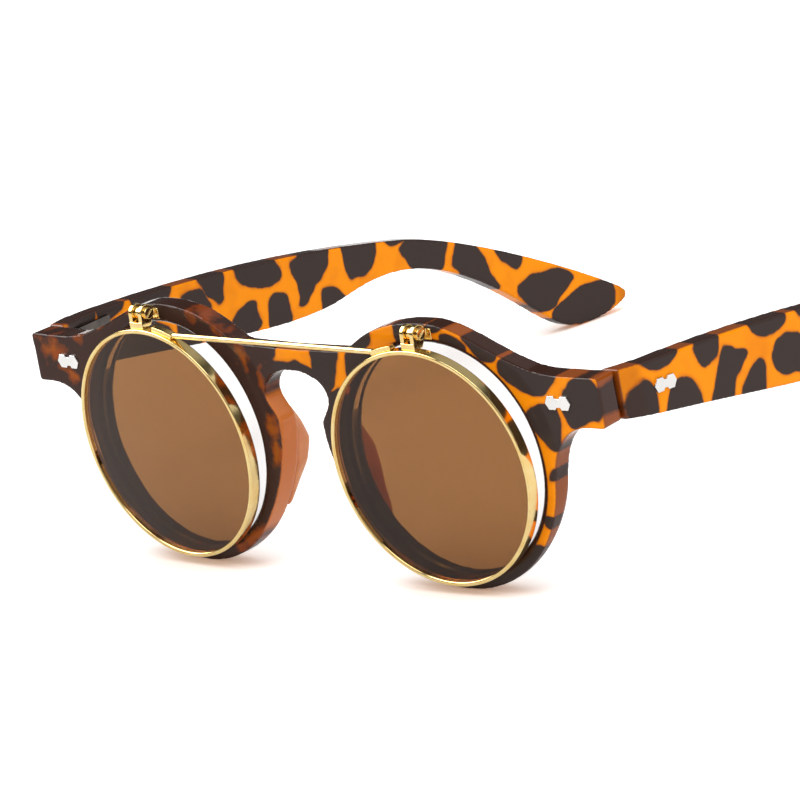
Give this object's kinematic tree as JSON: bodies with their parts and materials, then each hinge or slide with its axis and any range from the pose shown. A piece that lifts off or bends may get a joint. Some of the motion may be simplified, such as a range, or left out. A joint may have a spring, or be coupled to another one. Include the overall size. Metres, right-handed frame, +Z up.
{
  "type": "flip-up sunglasses",
  "caption": "Round-eye plastic glasses with clear lenses, folding temples and a pair of wire-bridged tinted lenses that swing up in front of the brow.",
  "frame": {"origin": "centre of the footprint, on the surface that the opened glasses stand on", "axes": "+X to the wearer's left, -Y the way the wearer looks, +Z up; the rims and the temple tips stand on Z = 0, with the temples open and the tinted lenses down"},
  "size_m": [0.1448, 0.1605, 0.0499],
  "materials": {
    "tortoise_plastic": "polished",
    "amber_plastic": "polished",
    "clear_lens": "polished",
    "tinted_lens": "polished",
    "gold_metal": "polished",
    "rivet_silver": "polished",
    "steel": "satin"
  },
  "bodies": {
    "front": {"front_frame": "tortoise_plastic", "nose_pad_left": "amber_plastic", "nose_pad_right": "amber_plastic", "clear_lens_left": "clear_lens", "clear_lens_right": "clear_lens", "front_hinge_left": "steel", "front_hinge_right": "steel", "hinge_screw_left": "steel", "hinge_screw_right": "steel", "front_rivet_left": "rivet_silver", "front_rivet_right": "rivet_silver", "flip_lug_left": "gold_metal", "flip_lug_right": "gold_metal"},
    "temple_left": {"temple_left": "tortoise_plastic", "temple_hinge_left": "steel", "temple_rivet_left": "rivet_silver"},
    "temple_right": {"temple_right": "tortoise_plastic", "temple_hinge_right": "steel", "temple_rivet_right": "rivet_silver"},
    "flip": {"flip_ring_left": "gold_metal", "flip_ring_right": "gold_metal", "tinted_lens_left": "tinted_lens", "tinted_lens_right": "tinted_lens", "flip_clevis_left": "gold_metal", "flip_clevis_right": "gold_metal", "flip_screw_left": "gold_metal", "flip_screw_right": "gold_metal", "flip_bridge_bar": "gold_metal"}
  },
  "joints": [
    {"name": "flip_up", "type": "hinge", "parent": "front", "child": "flip", "pos_m": [0, -0.07757, 0.04829], "axis": [-1, 0, 0], "range_deg": [0, 95]},
    {"name": "temple_left_fold", "type": "hinge", "parent": "front", "child": "temple_left", "pos_m": [0.06462, -0.06604, 0.03612], "axis": [0, -0.0286, 0.9996], "range_deg": [0, 88]},
    {"name": "temple_right_fold", "type": "hinge", "parent": "front", "child": "temple_right", "pos_m": [-0.06462, -0.06604, 0.03612], "axis": [0, 0.0286, -0.9996], "range_deg": [0, 76]}
  ]
}
